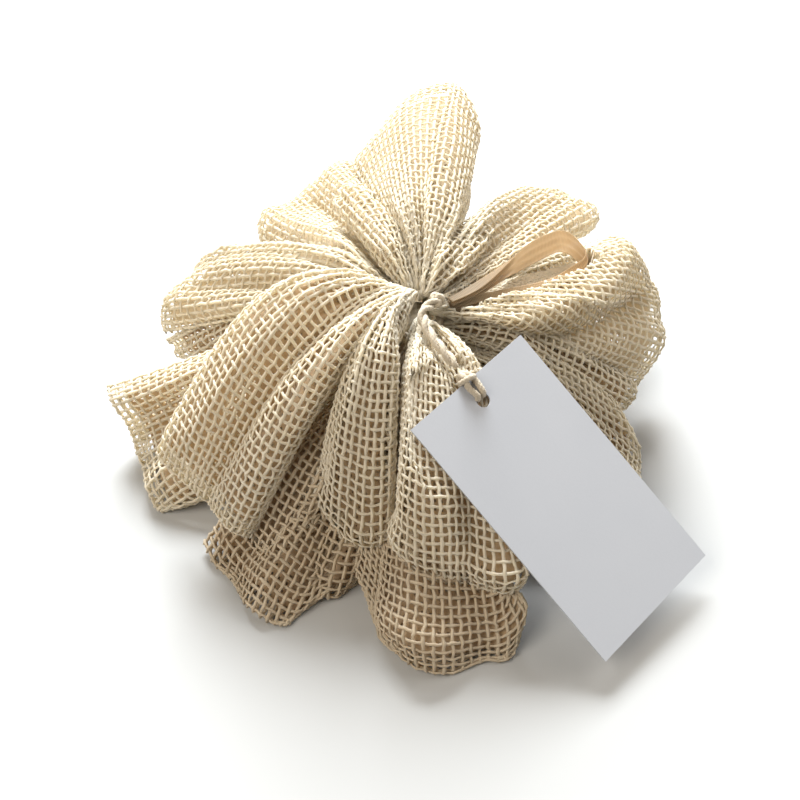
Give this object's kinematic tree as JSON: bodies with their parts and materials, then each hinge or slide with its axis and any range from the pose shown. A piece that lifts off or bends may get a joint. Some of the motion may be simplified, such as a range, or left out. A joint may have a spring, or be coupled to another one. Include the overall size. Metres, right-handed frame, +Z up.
{
  "type": "mesh bath pouf",
  "caption": "Gathered open cotton-net bath pouf with doubled lobes round a tied waist, a card tag on a twisted string and a hanging ribbon loop.",
  "frame": {"origin": "middle of the pouf's footprint, on the surface it lies on", "axes": "+Z up from the surface, +X to the right of the tag's view, +Y away from the viewer"},
  "size_m": [0.1934, 0.2044, 0.0672],
  "materials": {
    "net": "unbleached open-weave cotton net",
    "string": "soft twisted cotton string",
    "ribbon": "thin translucent cotton tape",
    "card": "matt pale grey card"
  },
  "bodies": {
    "pouf": {"net_core": "net", "binding_cord": "string", "string_knot": "string", "lobe_front_left": "net", "lobe_front_column": "net", "lobe_crest": "net", "lobe_small_curl": "net", "lobe_small_right": "net", "lobe_left_upper": "net", "lobe_right_wing": "net", "lobe_front_right": "net", "lobe_back_right": "net", "lobe_back_veil": "net", "lobe_left_fold": "net", "lobe_left_open": "net", "lobe_right_fold": "net", "lobe_right_low": "net", "lobe_card_bed": "net", "lobe_right_tip": "net", "lobe_small_front": "net", "lobe_front_lower": "net", "lobe_under_column": "net", "lobe_floor_left": "net", "lobe_back_low_left": "net", "lobe_back_low_mid": "net", "lobe_back_low_right": "net"},
    "string": {"tag_string": "string"},
    "hitch": {"string_hitch": "string"},
    "card": {"tag_card": "card"},
    "ribbon": {"hanging_ribbon": "ribbon"}
  },
  "joints": [
    {"name": "string_swing", "type": "hinge", "parent": "pouf", "child": "string", "pos_m": [0.0128, -0.0011, 0.057], "axis": [-0.9722, -0.2343, 0], "range_deg": [0, 45]},
    {"name": "tag_lift", "type": "hinge", "parent": "string", "child": "hitch", "pos_m": [0.0199, -0.0304, 0.0544], "axis": [-0.6877, -0.7246, -0.0453], "range_deg": [0, 90]},
    {"name": "tag_swivel", "type": "hinge", "parent": "hitch", "child": "card", "pos_m": [0.0263, -0.0362, 0.0495], "axis": [0.336, -0.373, 0.8648], "range_deg": [-20, 20]},
    {"name": "loop_lift", "type": "hinge", "parent": "pouf", "child": "ribbon", "pos_m": [0.017, 0.0015, 0.052], "axis": [0.4848, -0.8746, 0], "range_deg": [0, 60]}
  ]
}
